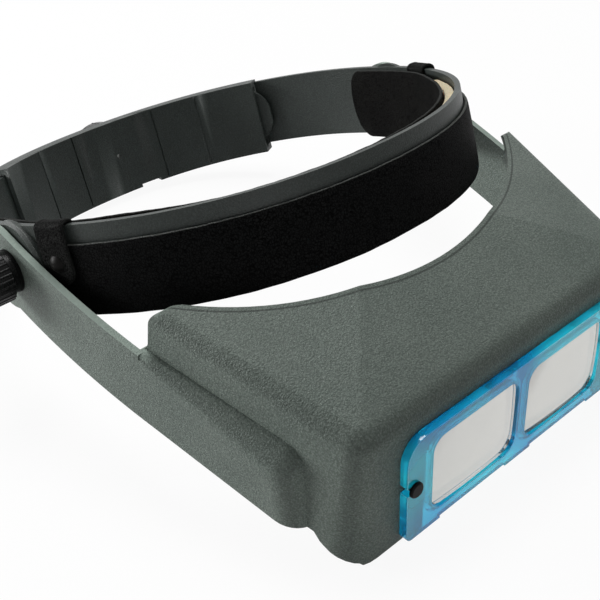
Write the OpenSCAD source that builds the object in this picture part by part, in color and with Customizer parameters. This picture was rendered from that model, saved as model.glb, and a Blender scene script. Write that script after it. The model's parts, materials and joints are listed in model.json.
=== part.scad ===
/* [Headband] */
// Half width of the band, outside
band_half_w = 89.2; // [84:0.2:96]
// Reach of the band in front of its centre, outside
band_front = 99.2; // [94:0.2:106]
// Reach of the band behind its centre, outside
band_rear = 92; // [87:0.2:98]
// Squareness of the band's outline, where 2 is an ellipse
band_square = 2.16; // [2:0.02:2.4]
// Height of the band
band_h = 28.6; // [26:0.2:34]
// Thickness of the band
band_t = 2; // [1.6:0.1:2.6]
// Tilt of the band when the magnifier stands on a table, front up
band_pitch = 18.6; // [14:0.1:26]

/* [Rear size adjuster] */
// Direction of the clamp bolt, in degrees from straight back towards the right
clamp_az = 5.5; // [2:0.5:9]
// Reach of the sleeve to the left of the clamp bolt, in degrees
sleeve_left = 40.5; // [30:0.5:42]
// Reach of the sleeve to the right of the clamp bolt, in degrees
sleeve_right = 46; // [38:0.5:47]
// Thickness of the sleeve's inner wall
sleeve_wall = 1.8; // [1.6:0.1:2.4]
// Thickness of the sleeve's outer wall
sleeve_skin = 0.8; // [0.6:0.1:1]
// Thickness of the tongue that runs through the sleeve
tongue_t = 1.8; // [1.4:0.1:2]
// Running gap between the sleeve and the straps
strap_gap = 0.4; // [0.35:0.05:0.6]
// Travel of the sleeve each way, in degrees
sleeve_travel = 4; // [2:0.5:6]
// Direction where the tongue ends, in degrees
tongue_end_az = 55; // [54:0.5:62]
// Direction where the outer strap ends, in degrees
outer_strap_end_az = -52; // [-56:0.5:-44]
// Radius of the rear knob
rear_knob_r = 14.8; // [13:0.2:16]
// Height of the rear knob
rear_knob_h = 10; // [8:0.5:12]

/* [Pivots] */
// Distance of the arms' outer faces from the band's side, at the pivots
arm_stand = 3.4; // [3.2:0.1:5.5]
// Place of the pivots in front of the band's centre
pivot_fwd = 13; // [8:0.5:18]
// Radius of the pivot bolts
bolt_r = 3; // [2.5:0.1:3.5]
// Radial running clearance of the arms on the bolts
bolt_clear = 0.05; // [0.02:0.01:0.1]
// Radius of the pivot knobs
knob_r = 9; // [8:0.25:11]
// Length of the pivot knobs
knob_len = 14; // [12:0.5:18]
// Number of grip ribs on a pivot knob
knob_ribs = 30; // [24:2:40]
// Thickness of the friction washers
washer_t = 0.6; // [0.4:0.1:1]

/* [Visor] */
// Thickness of the visor's wall
wall = 2.3; // [2:0.1:2.6]
// Distance of the brim's round edge from the band's side
brim_gap = 10.3; // [8.8:0.1:12.5]
// Height of the brim's crease points above the pivots
brim_z = 13.4; // [11:0.2:16]
// Forward reach of the visor's front wall from the pivots, at its top
front_reach = 133.2; // [128:0.2:140]
// Half width of the hood's front at its top
front_half_w = 69.5; // [67:0.5:73]
// Rounding of the hood's upper edges
edge_r = 9; // [8:0.5:10]
// Rounding of the hood's upright front corners
corner_r = 13; // [11:0.5:15]
// Lean of the visor from level, front down
visor_pitch = 1.6; // [0:0.1:4]
// Height of the arms
arm_h = 26.2; // [25:0.2:28]
// Radius of the round ends of the arms
arm_eye_r = 14.8; // [13.5:0.1:15.4]
// Place of the round ends' middle behind the pivots
arm_eye_back = 6; // [3:0.5:8]

/* [Lens plate] */
// Width of the lens plate
plate_w = 104.7; // [102:0.1:108]
// Height of the lens plate
plate_h = 37.6; // [35:0.2:39]
// Thickness of the lens plate
plate_t = 3; // [2.6:0.1:3.6]
// Lean of the lens plate, top back
plate_tilt = 3.5; // [2:0.5:6]
// Width of the plate beside a window
plate_end = 10.85; // [10.2:0.05:12.5]
// Height of the plate above and below a window
plate_rail = 4.8; // [4:0.1:6]
// Width of the bar between the windows
window_bar = 5; // [4:0.1:6]
// Width of the lip that holds a lens
lens_lip = 0.8; // [0.6:0.1:1.2]
// Thickness of a lens at its edge
lens_t = 4; // [3.4:0.1:5]
// Inset of the studs from the plate's ends
stud_inset = 3; // [2.6:0.1:3.4]
// Radius of the studs' necks
stud_r = 1.3; // [1.1:0.05:1.5]
// Radius of the studs' heads
stud_head_r = 2.6; // [2.2:0.1:3.2]

/* [Comfort band] */
// Thickness of the leather
leather_t = 1.25; // [1:0.05:1.6]
// Depth of the bare strip of band above the leather cover
cover_drop = 6; // [4:0.5:9]
// Thickness of the brow foam at the middle
foam_t = 3.6; // [3:0.2:6]
// Direction of the liner's ends, in degrees from straight back
liner_end_az = 84; // [80:1:92]
// Direction of the snap tabs, in degrees from straight back
tab_az = 112.8; // [112.6:0.2:114.4]
// Width of a snap tab
tab_w = 12; // [11:0.5:13]
// Radius of the snap caps
snap_r = 2.8; // [2.4:0.1:3.4]

/* [Hidden] */

$fn = 48;
// Side signs of the wearer's right and left hand pieces, seen from behind
LEFT = -1;
RIGHT = 1;
// Gap between soft pieces and what they lie on
soft_gap = 0.25;
// Extra length that makes cuts break through
over = 1;
// Degrees between neighbouring points of the band's outline
az_step = 2.5;

// Distance that takes a cut well past the part
past = 150;

// Stack of layers at the rear, as depths under the band's outer face
skin_out = band_t + strap_gap;
tongue_out = skin_out + sleeve_skin + strap_gap;
pad_out = tongue_out + tongue_t + strap_gap;
sleeve_in = pad_out + sleeve_wall;
// Top and bottom walls of the sleeve, and the tongue between them
// Rims of the sleeve over and under the outer strap
rim_gap = 0.2;
rim_over = 0.7;
rim_under = 2.7;
foot_step = 1.3;
sleeve_top = rim_gap + rim_over;
sleeve_bottom = -band_h - rim_gap - rim_under;
tongue_inset = 1.9;
tongue_top = -tongue_inset;
tongue_bottom = -band_h + 1;
sleeve_az0 = clamp_az - sleeve_left;
sleeve_az1 = clamp_az + sleeve_right;
// Score lines that let the sleeve bend
score_az = [clamp_az - 25.6, clamp_az - 13.2, clamp_az + 13.6, clamp_az + 27.6];
score_w = 0.7;
score_depth = 0.6;
// Clamp bolt, its washer and the slots that it passes through
clamp_r = 2;
clamp_z = -band_h / 2;
clamp_head_r = 4;
clamp_head_t = 0.9;
clamp_hole_r = clamp_r + 0.15;
slot_half = clamp_r + 0.3;
slot_reach = sleeve_travel + 2.2;
rear_washer_r = 7;
rear_washer_t = 0.8;
rear_washer_off = 0.35;
rear_knob_off = rear_washer_off + rear_washer_t + 0.1;
rear_insert_r = 3.4;
rear_ribs = 44;
rear_insert_h = 5;
peep_r = 0.8;
// Directions where the left strap leaves the outline and becomes the tongue
tongue_bend_az = [-78, -60];

// Pivot stack along X, from the middle outwards
pivot_x = band_half_w + arm_stand;
arm_in_x = pivot_x - wall;
boss_x = arm_in_x - washer_t - 0.05;
boss_r = 14.6;
boss_flank = 1;
bolt_head_r = 6;
bolt_head_t = 1.5;
bolt_seat_x = band_half_w - band_t - 0.5;
press_x = pivot_x + 0.1;
press_t = 0.8;
press_r = knob_r - 1.6;
knob_x = press_x + press_t + 0.1;
knob_end_x = knob_x + knob_len;
neck_r = knob_r - 1.8;
neck_t = 2.3;
rib_r = 0.45;
knob_crown = 1.2;
insert_r = bolt_r + 1.4;
insert_len = knob_len - 4;
bolt_end_x = knob_x + insert_len;
friction_r = 10;

// Arm outline, in the side view, from the pivot: y forward is negative
notch_y = -62.3;
notch_z = -0.2;
arm_top_rise = 0.195;
arm_low_rise = 0.175;
panel_front_y = -122;
panel_rear = 10;
panel_edge_r = 0.8;
panel_front_r = 9;
panel_inner_r = 0.4;
panel_front_lean = [3.4, -4];
notch_r = 2.6;
panel_depth = 12.5;
arm_taper = 0.153;
arm_bend_y = -3;
// Middle of an arm's round end, whose top meets the arm's upper edge smoothly
eye_z = notch_z + arm_top_rise * (arm_eye_back - notch_y) - arm_eye_r * norm([1, arm_top_rise]);
bearing_r = friction_r + 0.8;

// Hood form, from the pivot
plate_lean = tan(plate_tilt);
hood_top_z = -5;
crease_slope = 0.393;
crease_back = [19, -85];
crease_y = -96.3;
crease_r = wall + 0.6;
wing_tip_r = 4.2;
wing_edge_r = 5.5;
wing_back = [pivot_x - 6.6, -50];
wing_top_z = 16.2;
brim_r = band_half_w + brim_gap;
foot_half_w = front_half_w + 4.8;
foot_z = 11;
foot_sink = 6;

// Lens plate details, in the plate's own plane
plate_gap = 0.2;
plate_mid_z = -26.75;
window_w = (plate_w - window_bar) / 2 - plate_end;
window_h = plate_h - 2 * plate_rail;
plate_top_r = 8;
plate_foot_r = 2.5;
plate_foot_cut = 1;
window_mid = 0.3;
window_r = 5;
lip_t = 1.5;
well_wall = 1.3;
lens_gap = 0.12;
// Opening in the front wall behind the plate, which clears the wells round the lenses
flange_x = plate_w / 2 - plate_end + lens_lip + well_wall + 0.4;
opening_top = window_mid + window_h / 2 + lens_lip + well_wall + 1;
opening_r = 6;
well_depth = lens_t - (plate_t - lip_t) + 0.4;
dome_h = 1.2;
stud_up = 1.5;
stud_head_t = 1.1;
nut_r = 3;
nut_t = 0.8;

// Comfort band
cover_az = tab_az - 2;
cover_end_az = 360 - cover_az;
cover_bottom = -band_h - 1;
liner_t = 1.3;
liner_top = -0.5;
liner_bottom = -band_h - 0.5;
liner_dip = 0.9;
liner_rise = 0.9;
foam_az = 122;
tab_drop = 19;
tab_t = 1.2;
tab_inner_drop = 6.5;
// Depth of the tabs' outer legs outside the band: over the cover's ends
tab_off = soft_gap + leather_t + soft_gap;
snap_z = -11.7;
snap_dome = 1.3;
post_r = 1.4;
post_head_r = 3.2;
post_head_t = 0.7;

// Height of the band's centre, so that the rear knob's lowest rib stands on the floor
rib_end = rear_knob_off + rear_knob_h - knob_crown;
ring_z = band_point(clamp_az, rib_end)[1] * sin(band_pitch) + (rear_knob_r - clamp_z) * cos(band_pitch);
// Pivot height in the band's own frame, at half its height
pivot_local_z = -band_h / 2;
pivot_y = -pivot_fwd * cos(band_pitch) + pivot_local_z * sin(band_pitch);
pivot_z = ring_z + pivot_fwd * sin(band_pitch) + pivot_local_z * cos(band_pitch);
floor_z = -pivot_z;

// Span of the whole object from front to back, which sets the origin
front_y = pivot_y - front_reach * cos(visor_pitch) + (plate_mid_z - hood_top_z) * plate_lean - plate_t
    - plate_gap - stud_head_t - 0.4;
rear_y = (band_rear + rear_knob_off + rear_knob_h) * cos(band_pitch)
    + (clamp_z + rear_knob_r) * sin(band_pitch);
origin_y = -(front_y + rear_y) / 2;

// Colours as the photograph shows them
shell_green = [0.34, 0.37, 0.355];
band_green = [0.22, 0.25, 0.24];
leather_black = [0.06, 0.06, 0.06];
liner_black = [0.12, 0.12, 0.11];
foam_cream = [0.88, 0.84, 0.74];
plate_blue = [0.2, 0.5, 0.75, 0.6];
lens_clear = [0.8, 0.82, 0.8, 0.5];
knob_black = [0.08, 0.08, 0.08];
steel_grey = [0.6, 0.61, 0.62];
brass_yellow = [0.78, 0.62, 0.3];

// Outline of the band: a superellipse with unlike front and rear halves,
// where az is the direction from straight back (+Y) towards the right (+X)
function half_len(az) = cos(az) > 0 ? band_rear : band_front;
function az_radius(az) = pow(
    pow(abs(sin(az)) / band_half_w, band_square) + pow(abs(cos(az)) / half_len(az), band_square),
    -1 / band_square);
function base_point(az) = az_radius(az) * [sin(az), cos(az)];
function signed_pow(v, e) = sign(v) * pow(abs(v), e);
// Outward normal of the outline, from the gradient of its equation
function az_normal(az) = let (
    p = base_point(az),
    g = [signed_pow(p[0] / band_half_w, band_square - 1) / band_half_w,
         signed_pow(p[1] / half_len(az), band_square - 1) / half_len(az)]
) g / norm(g);
// Point of the outline moved outwards by off
function band_point(az, off) = base_point(az) + off * az_normal(az);
// Directions from a0 to a1, through the whole multiples of the step between them
function az_range(a0, a1) = let (
    small = az_step / 10,
    first = ceil((a0 + small) / az_step),
    last = floor((a1 - small) / az_step)
) concat([a0], [for (i = [first:last]) i * az_step], [a1]);
function smooth(t) = let (c = max(0, min(1, t))) c * c * (3 - 2 * c);

// Wall along the outline from a0 to a1, between two depths, from z0 up to z1
module band_wall(a0, a1, out_depth, in_depth, z0, z1) {
    azs = az_range(a0, a1);
    n = len(azs) - 1;
    translate([0, 0, z0])
        linear_extrude(z1 - z0)
            polygon(concat([for (a = azs) band_point(a, -out_depth)],
                           [for (i = [n:-1:0]) band_point(azs[i], -in_depth)]));
}

// Solid swept along the outline: section(az) gives [offset, height] points
module band_sweep(a0, a1, section) {
    azs = az_range(a0, a1);
    m = len(section(a0));
    n = len(azs);
    points = [for (a = azs) let (s = section(a)) for (q = s)
        let (p = band_point(a, q[0])) [p[0], p[1], q[1]]];
    sides = [for (i = [0:n - 2]) for (j = [0:m - 1])
        let (k = (j + 1) % m, a = i * m + j, b = i * m + k, c = b + m, d = a + m)
        each [[a, b, c], [a, c, d]]];
    first = [for (j = [1:m - 2]) [0, j + 1, j]];
    last = [for (j = [1:m - 2]) let (b = (n - 1) * m) [b, b + j, b + j + 1]];
    polyhedron(points, concat(sides, first, last));
}

// Places children in the band's frame, whose origin is the middle of its top rim
module in_band_frame() {
    translate([0, origin_y, ring_z])
        rotate([-band_pitch, 0, 0])
            children();
}

// Places children with Z pointing out of the band in the direction az
module on_band(az, off, z) {
    p = band_point(az, off);
    n = az_normal(az);
    translate([p[0], p[1], z])
        rotate([0, 0, atan2(n[1], n[0])])
            rotate([0, 90, 0])
                children();
}

// Places children at the pivots' axis, in the middle of the object
module at_pivot() {
    translate([0, origin_y + pivot_y, pivot_z])
        rotate([visor_pitch, 0, 0])
            children();
}

// Places children with Z pointing outwards along the pivot axis of one side
module along_pivot(side) {
    at_pivot()
        rotate([0, side * 90, 0])
            children();
}

// Places children in the lens plate's plane: Y up, Z out of the front
module in_plate_frame() {
    at_pivot()
        translate([0, -front_reach + (plate_mid_z - hood_top_z) * plate_lean - plate_gap, plate_mid_z])
            rotate([90 - plate_tilt, 0, 0])
                children();
}

// Ring or disc between two heights, with an optional bore
module ring(r, z0, z1, bore = 0) {
    difference() {
        translate([0, 0, z0])
            cylinder(r = r, h = z1 - z0);
        if (bore > 0)
            translate([0, 0, z0 - over])
                cylinder(r = bore, h = z1 - z0 + 2 * over);
    }
}

// Rectangle with round corners, centred
module round_rect(w, h, r) {
    union() {
        square([w - 2 * r, h], center = true);
        square([w, h - 2 * r], center = true);
        for (sx = [-1, 1])
            for (sy = [-1, 1])
                translate([sx * (w / 2 - r), sy * (h / 2 - r)])
                    circle(r);
    }
}

// Knob with a narrower neck at its base and grip ribs round its barrel, its base at height 0
module ribbed_knob(r, h, ribs, neck, neck_h) {
    crown = knob_crown;
    low = neck_h + 0.5;
    union() {
        cylinder(r = neck, h = neck_h + 0.2);
        translate([0, 0, neck_h])
            cylinder(r1 = r - rib_r - 0.5, r2 = r - rib_r / 2, h = 0.5);
        translate([0, 0, low])
            cylinder(r = r - rib_r / 2, h = h - low - crown);
        translate([0, 0, h - crown])
            cylinder(r1 = r - rib_r / 2, r2 = r - crown - rib_r, h = crown);
        for (i = [0:ribs - 1])
            rotate([0, 0, i * 360 / ribs])
                translate([r - rib_r, 0, low])
                    cylinder(r = rib_r, h = h - low - crown, $fn = 16);
    }
}

// Height of the hood's middle facet over a distance in front of the pivots
function facet_z(y) = brim_z + crease_slope * (y - crease_y);

// Convex form of the hood: its upper edges and corners are round,
// and shrink makes the same form smaller by a wall
module hood_form(shrink, drop) {
    r = edge_r - shrink;
    foot_low = floor_z - drop;
    foot_y = -front_reach + corner_r + (foot_low + foot_z - hood_top_z) * plate_lean;
    facet_lean = norm([1, crease_slope]);
    // Middle of the front edge's rounding, which meets the middle facet and the front wall
    top_z = facet_z(edge_r - front_reach) + 0.2 - edge_r * facet_lean;
    top_y = -front_reach + edge_r + (top_z - hood_top_z) * plate_lean;
    hull() {
        for (s = [-1, 1]) {
            translate([s * (front_half_w - edge_r), top_y, top_z])
                sphere(r, $fn = 32);
            translate([s * (foot_half_w - corner_r), foot_y, foot_low])
                cylinder(r = corner_r - shrink, h = foot_z, $fn = 32);
            translate([s * (wing_back[0] - wing_edge_r), wing_back[1], wing_top_z - wing_edge_r])
                sphere(wing_edge_r - shrink, $fn = 32);
            translate([s * (wing_back[0] + 5.3 - wing_edge_r), wing_back[1], foot_low + wing_edge_r])
                sphere(wing_edge_r - shrink, $fn = 32);
            translate([s * crease_back[0], crease_back[1] + 2,
                       facet_z(crease_back[1]) + 0.15 - crease_r * facet_lean])
                sphere(crease_r - shrink, $fn = 32);
        }
    }
}

// Upper and lower edge of an arm at the place y, in the side view
function arm_top(y) = notch_z + arm_top_rise * (y - notch_y);
function arm_low(y) = notch_z - arm_h + arm_low_rise * (y - notch_y);

// Arm between its round end and the hood, in the side view
module arm_outline() {
    end_y = notch_y - over;
    meet_y = arm_eye_back - arm_eye_r * sin(atan(arm_top_rise));
    low_y = arm_eye_back - arm_eye_r / 4;
    union() {
        polygon([[meet_y, arm_top(meet_y)], [end_y, arm_top(end_y)], [end_y, arm_low(end_y)],
                 [low_y, arm_low(low_y)]]);
        translate([arm_eye_back, eye_z])
            circle(arm_eye_r, $fn = 96);
    }
}

// Outer face of an arm over its length
function arm_x(y) = y > arm_bend_y ? pivot_x
    : y > notch_y ? pivot_x - arm_taper * pow(arm_bend_y - y, 2) / (2 * (arm_bend_y - notch_y))
    : arm_x(notch_y + 0.001) - arm_taper * (notch_y - y);

// Plan of a strip that follows an arm's outer face, one wall thick
module arm_plan(y0, y1) {
    step = 4;
    n = ceil((y1 - y0) / step);
    ys = [for (i = [0:n]) y0 + (y1 - y0) * i / n];
    polygon(concat([for (y = ys) [arm_x(y), y]], [for (i = [n:-1:0]) [arm_x(ys[i]) - wall, ys[i]]]));
}

// Extrudes a side view outline across the width from x0 to x1
module side_prism(x0, x1) {
    translate([x0, 0, 0])
        rotate([90, 0, 90])
            linear_extrude(x1 - x0)
                children();
}

// Places children on a side panel's outer face: X out of the face, Y to the rear, Z up
module on_panel() {
    translate([arm_x(notch_y), notch_y, 0])
        rotate([0, 0, -atan(arm_taper)])
            children();
}

// Raised side panel, whose top runs on from the arm's upper edge and rolls over into the
// outer face, more broadly towards the front: shrink makes it smaller by a wall, and the
// smaller form reaches further in and to the rear, so that it hollows the larger one
module panel_form(shrink) {
    along = cos(atan(arm_taper));
    depth = panel_depth + 2 * shrink;
    front = (panel_front_y - notch_y) / along + panel_front_r;
    deep = arm_low(panel_front_y) - 3 * panel_front_r;
    rise = norm([1, arm_top_rise]);
    front_z = arm_top(notch_y + (front + panel_front_lean[0]) * along) - panel_front_r * rise;
    rear_z = arm_top(notch_y + panel_rear * along) - panel_edge_r * rise;
    hull() {
        for (p = [[panel_rear, deep, panel_edge_r], [panel_rear, rear_z, panel_edge_r],
                  [front + panel_front_lean[1], deep, panel_front_r],
                  [front + panel_front_lean[0], front_z, panel_front_r]]) {
            r = shrink > 0 ? max(p[2] - shrink, panel_inner_r) : p[2];
            in = max(p[2], shrink + r);
            fine = shrink > 0 || p[2] < wall ? 16 : 32;
            translate([-in, p[0], p[1] + p[2] - in])
                sphere(r, $fn = fine);
            translate([-depth, p[0], p[1] + p[2] - in])
                rotate([0, 90, 0])
                    cylinder(r = r, h = depth - in, $fn = fine);
        }
    }
}

// Lower edge of the hood, in the side view: level with the arms and down to the feet in front
module underside_cut() {
    front = panel_front_y;
    edge = arm_low(front);
    deep = floor_z - past;
    polygon([[past, arm_low(past)], [front, edge], [front - 2.3, edge - 2.6], [front - 6.5, edge - 5.4],
             [front - 9.8, edge - 7.3], [front - 12.2, edge - 8.8], [front - 12.8, edge - 10],
             [front - 13, deep], [past, deep]]);
}

module side_panels(shrink) {
    on_panel()
        panel_form(shrink);
    mirror([1, 0, 0])
        on_panel()
            panel_form(shrink);
}

// One arm, on the right hand side
module arm() {
    intersection() {
        side_prism(pivot_x / 2, pivot_x + over)
            arm_outline();
        translate([0, 0, -past])
            linear_extrude(2 * past)
                arm_plan(notch_y, arm_eye_back + arm_eye_r + over);
    }
    // Flat bearing face round the bolt
    rotate([0, 90, 0])
        translate([0, 0, arm_in_x])
            cylinder(r = bearing_r, h = wall);
}

module visor_shell() {
    color(shell_green)
        difference() {
            at_pivot()
                visor_form();
            // Flat feet that stand on the floor
            translate([-past, -2 * past, -past])
                cube([2 * past, 4 * past, past]);
        }
}

// Hollow curve by which the wing's rear edge meets the arm, in the side view
module notch_fillet() {
    low = arm_top(notch_y);
    difference() {
        translate([notch_y - over, low - 1])
            square([notch_r, notch_r + 1]);
        translate([notch_y + notch_r, low + notch_r])
            circle(notch_r);
    }
}

// The visor about its pivots, level
module visor_form() {
    difference() {
        union() {
            difference() {
                union() {
                    hood_form(0, foot_sink);
                    side_panels(0);
                }
                hood_form(wall, 2 * foot_sink);
                side_panels(wall);
                // Brim that runs round the band
                translate([0, 0, -past])
                    cylinder(r = brim_r, h = 2 * past, $fn = 180);
                // Rear edge of the wings, with a round tip
                side_prism(-past, past)
                    difference() {
                        translate([notch_y - wing_tip_r, -past])
                            square([past, 2 * past]);
                        translate([notch_y - wing_tip_r, -past])
                            square([wing_tip_r, past + brim_z - wing_tip_r]);
                        translate([notch_y - wing_tip_r, brim_z - wing_tip_r])
                            circle(wing_tip_r);
                        notch_fillet();
                    }
                side_prism(-past, past)
                    underside_cut();
            }
            arm();
            mirror([1, 0, 0])
                arm();
        }
        // Front opening behind the lens plate, open at the bottom
        at_front()
            translate([0, opening_top - past / 2, -4 * wall])
                linear_extrude(8 * wall)
                    round_rect(2 * flange_x, past, opening_r);
        // Stud holes
        at_front()
            for (s = [-1, 1])
                translate([s * (plate_w / 2 - stud_inset), stud_up, -4 * wall])
                    cylinder(r = stud_r + bolt_clear, h = 8 * wall);
        // Pivot bores, and flat seats for the friction washers
        rotate([0, 90, 0])
            translate([0, 0, -pivot_x - over])
                cylinder(r = bolt_r + bolt_clear, h = 2 * (pivot_x + over));
        for (s = [-1, 1])
            rotate([0, s * 90, 0])
                translate([0, 0, arm_in_x - 2 * over])
                    cylinder(r = friction_r + 0.4, h = 2 * over);
    }
}

// Places children in the front wall's plane, from the pivot
module at_front() {
    translate([0, -front_reach + (plate_mid_z - hood_top_z) * plate_lean, plate_mid_z])
        rotate([90 - plate_tilt, 0, 0])
            children();
}

// Outline of the lens plate, with small steps in its lower edge under the windows
module plate_outline() {
    half = plate_w / 2;
    low = -plate_h / 2;
    window_x = window_bar / 2 + window_w / 2;
    difference() {
        union() {
            translate([0, (plate_h / 2 - plate_top_r) / 2 + low / 2 + plate_foot_r / 2])
                square([plate_w, plate_h - plate_top_r - plate_foot_r], center = true);
            translate([0, 0])
                square([plate_w - 2 * plate_top_r, plate_h], center = true);
            for (s = [-1, 1]) {
                translate([s * (half - plate_top_r), plate_h / 2 - plate_top_r])
                    circle(plate_top_r);
                translate([s * (half - plate_foot_r), low + plate_foot_r])
                    circle(plate_foot_r);
            }
            translate([0, low + plate_foot_r])
                square([plate_w - 2 * plate_foot_r, 2 * plate_foot_r], center = true);
        }
        for (s = [-1, 1]) {
            translate([s * window_x, low])
                square([window_w * 0.8, 2 * plate_foot_cut], center = true);
            // Open slot for a stud
            translate([s * (half - stud_inset), stud_up])
                circle(stud_r + 0.2);
            translate([s * (half - stud_inset / 2), stud_up])
                square([stud_inset, 2 * (stud_r + 0.2)], center = true);
        }
    }
}

// Runs children once at each window's middle, in the plate's plane
module at_windows() {
    for (s = [-1, 1])
        translate([s * (window_bar + window_w) / 2, window_mid])
            children();
}

module lens_plate() {
    seat_w = window_w + 2 * lens_lip;
    seat_h = window_h + 2 * lens_lip;
    color(plate_blue)
        in_plate_frame()
            difference() {
                union() {
                    linear_extrude(plate_t)
                        plate_outline();
                    translate([0, 0, -well_depth])
                        linear_extrude(well_depth + over)
                            at_windows()
                                round_rect(seat_w + 2 * well_wall, seat_h + 2 * well_wall, window_r + 2);
                }
                translate([0, 0, -well_depth - over])
                    linear_extrude(well_depth + over + plate_t - lip_t)
                        at_windows()
                            round_rect(seat_w, seat_h, window_r + lens_lip);
                translate([0, 0, -over])
                    linear_extrude(plate_t + 2 * over)
                        at_windows()
                            round_rect(window_w, window_h, window_r);
            }
}

// A lens: a flat edge that seats behind the lip, and a low dome that fills the window
module lens(side) {
    seat_z = plate_t - lip_t;
    edge = lens_lip - lens_gap;
    dome_half = norm([window_w, window_h]) / 2;
    dome_r = (pow(dome_half, 2) + pow(dome_h, 2)) / (2 * dome_h);
    color(lens_clear)
        in_plate_frame()
            translate([side * (window_bar + window_w) / 2, window_mid, seat_z - lens_t])
                difference() {
                    intersection() {
                        linear_extrude(lens_t + dome_h + over)
                            round_rect(window_w + 2 * edge, window_h + 2 * edge, window_r + edge);
                        translate([0, 0, lens_t + dome_h - dome_r])
                            rotate([0, 90, 37])
                                sphere(dome_r, $fn = 180);
                    }
                    // Flat rim that bears on the back of the lip
                    translate([0, 0, lens_t])
                        linear_extrude(dome_h + 2 * over)
                            difference() {
                                square(2 * window_w, center = true);
                                round_rect(window_w - 2 * lens_gap, window_h - 2 * lens_gap,
                                           window_r - lens_gap);
                            }
                }
}

module lens_studs() {
    head_z = plate_gap + plate_t + 0.2;
    color(knob_black)
        at_pivot()
            at_front()
                for (s = [-1, 1])
                    translate([s * (plate_w / 2 - stud_inset), stud_up, 0]) {
                        translate([0, 0, -wall - nut_t - 0.3])
                            cylinder(r = stud_r, h = wall + nut_t + 0.3 + head_z + 0.1);
                        translate([0, 0, head_z])
                            cylinder(r = stud_head_r, h = stud_head_t - 0.4);
                        translate([0, 0, head_z + stud_head_t - 0.4])
                            cylinder(r1 = stud_head_r, r2 = stud_head_r - 0.4, h = 0.4);
                    }
}

module lens_stud_nuts() {
    color(steel_grey)
        at_pivot()
            at_front()
                for (s = [-1, 1])
                    translate([s * (plate_w / 2 - stud_inset), stud_up, 0])
                        ring(nut_r, -wall - nut_t - 0.05, -wall - 0.05, stud_r);
}

// Depth of the left strap under the outline, which bends inwards to become the tongue
function tongue_depth(az) = tongue_out
    * smooth((az - tongue_bend_az[0]) / (tongue_bend_az[1] - tongue_bend_az[0]));

// Left strap and tongue, from the left side of the band to the tongue's round end
module tongue() {
    azs = az_range(-95, tongue_end_az);
    n = len(azs) - 1;
    tip_r = (tongue_top - tongue_bottom) / 2;
    tip_back = 8.2;
    difference() {
        translate([0, 0, tongue_bottom])
            linear_extrude(tongue_top - tongue_bottom)
                polygon(concat([for (a = azs) band_point(a, -tongue_depth(a))],
                               [for (i = [n:-1:0]) band_point(azs[i], -tongue_depth(azs[i]) - tongue_t)]));
        // Round end: what lies outside a circle about the middle of the tongue is cut off
        on_band(tongue_end_az - tip_back, -tongue_out - tongue_t / 2, (tongue_top + tongue_bottom) / 2)
            translate([0, 0, -pad_out])
                linear_extrude(2 * pad_out)
                    difference() {
                        translate([-tip_r - over, -3 * tip_r])
                            square([2 * (tip_r + over), 3 * tip_r]);
                        circle(tip_r);
                    }
    }
}

module headband() {
    color(band_green)
        in_band_frame()
            difference() {
                union() {
                    band_wall(outer_strap_end_az, 270, 0, band_t, -band_h, 0);
                    tongue();
                    difference() {
                        for (s = [-1, 1])
                            translate([0, -pivot_fwd, pivot_local_z])
                                rotate([0, s * 90, 0]) {
                                    translate([0, 0, boss_x - boss_flank])
                                        cylinder(r1 = boss_r + boss_flank, r2 = boss_r, h = boss_flank);
                                    translate([0, 0, boss_x - 5])
                                        cylinder(r = boss_r + boss_flank, h = 5 - boss_flank);
                                }
                        // The bosses start in the middle of the band's wall
                        translate([0, 0, -2 * band_h])
                            linear_extrude(3 * band_h)
                                polygon([for (a = [0:az_step:360 - az_step]) band_point(a, -band_t / 2)]);
                    }
                }
                // Bolt holes and flat seats for the bolt heads
                translate([0, -pivot_fwd, pivot_local_z])
                    rotate([0, 90, 0]) {
                        translate([0, 0, -pivot_x])
                            cylinder(r = bolt_r + bolt_clear, h = 2 * pivot_x);
                        translate([0, 0, -bolt_seat_x])
                            cylinder(r = bolt_head_r + 0.2, h = 2 * bolt_seat_x);
                    }
                // Slots for the clamp bolt, through the outer strap and the tongue
                band_wall(clamp_az - slot_reach, clamp_az + slot_reach, -over, pad_out,
                          clamp_z - slot_half, clamp_z + slot_half);
                // Holes for the snap posts
                for (s = [-1, 1])
                    on_band(s * tab_az, -band_t - over, snap_z)
                        cylinder(r = post_r + bolt_clear, h = band_t + 2 * over);
            }
}

// Depth of the liner's outer face under the band's outer face: close to the band
// at the liner's ends, clear of the bolt heads, and out over the foam in front
function liner_depth(az) = let (a = az > 180 ? 360 - az : az)
    band_t + soft_gap
    + (bolt_head_t + 0.6) * smooth((a - liner_end_az) / 8)
    + (foam_t - bolt_head_t) * smooth((a - tab_az) / 16);

// Leather cover outside the lower two thirds of the band, with soft edges
function cover_section(az) = let (
    a = min(az - cover_az, cover_end_az - az),
    end_round = 2.5 * (1 - smooth(a / 2)),
    top = -cover_drop - end_round,
    low = cover_bottom + end_round
) [[soft_gap, low + 0.4], [soft_gap, top - 0.2], [soft_gap + 0.35, top],
   [soft_gap + leather_t - 0.3, top - 0.1], [soft_gap + leather_t, top - 0.8],
   [soft_gap + leather_t + 0.25, (top + low) / 2], [soft_gap + leather_t, low + 1.2],
   [soft_gap + leather_t - 0.5, low + 0.2], [soft_gap + 0.3, low]];

module brow_cover() {
    color(leather_black)
        in_band_frame()
            difference() {
                band_sweep(cover_az, cover_end_az, function(az) cover_section(az));
                // Holes for the snap posts
                for (s = [-1, 1])
                    on_band(s * tab_az, 0, snap_z)
                        cylinder(r = post_r + bolt_clear, h = 2 * tab_off);
            }
}

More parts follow.
